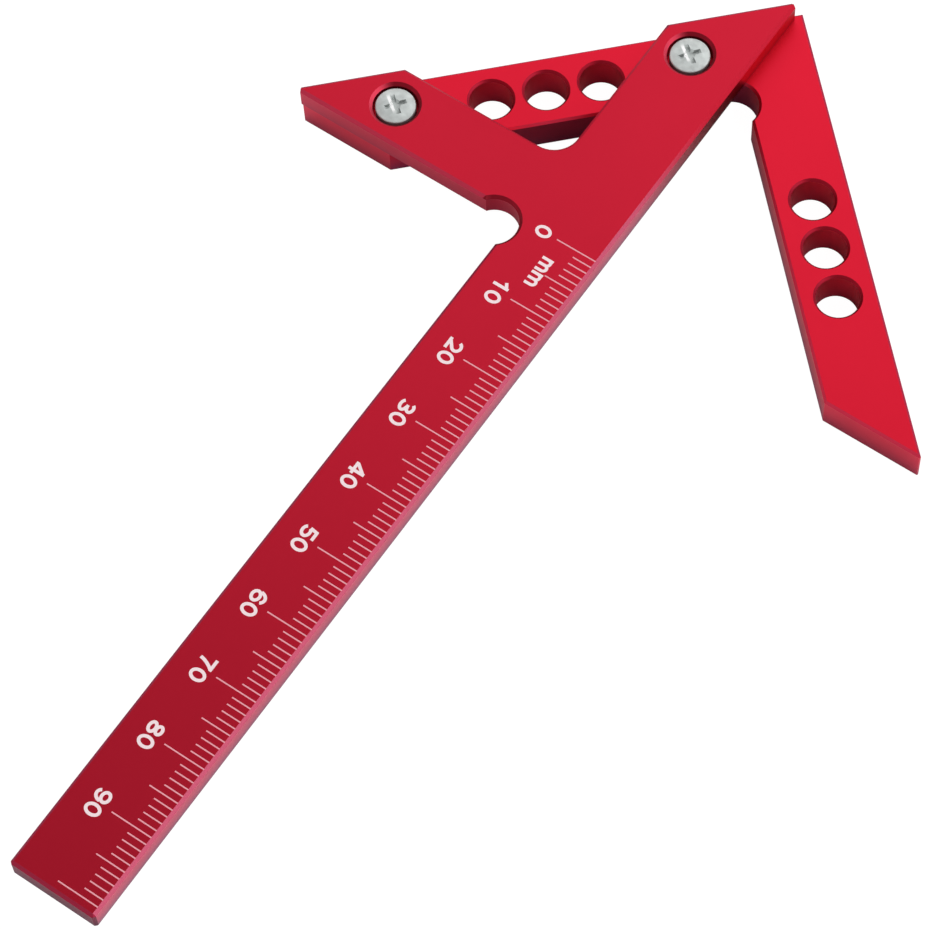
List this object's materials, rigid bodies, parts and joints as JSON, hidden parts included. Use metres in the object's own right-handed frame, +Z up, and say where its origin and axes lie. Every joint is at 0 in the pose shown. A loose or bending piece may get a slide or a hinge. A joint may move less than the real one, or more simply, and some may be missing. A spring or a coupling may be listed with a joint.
{
  "type": "center finder square",
  "caption": "Flat V-shaped square with a graduated ruler along its bisector, laid on the end of round or square stock to scribe lines through its center.",
  "frame": {"origin": "underside of the corner base, on the V's bisector, midway between the V's apex and the ruler's end", "axes": "+Y along the ruler towards the V's apex, +Z up out of the face that carries the scale, +X towards the bare leg"},
  "size_m": [0.0906, 0.1474, 0.008],
  "materials": {
    "base_anodised": "red satin anodised",
    "plate_anodised": "red satin anodised",
    "screw_zinc": "zinc plated"
  },
  "bodies": {
    "root": {"corner_base": "base_anodised", "ruler_plate": "plate_anodised", "fixing_screws": "screw_zinc"}
  },
  "joints": []
}
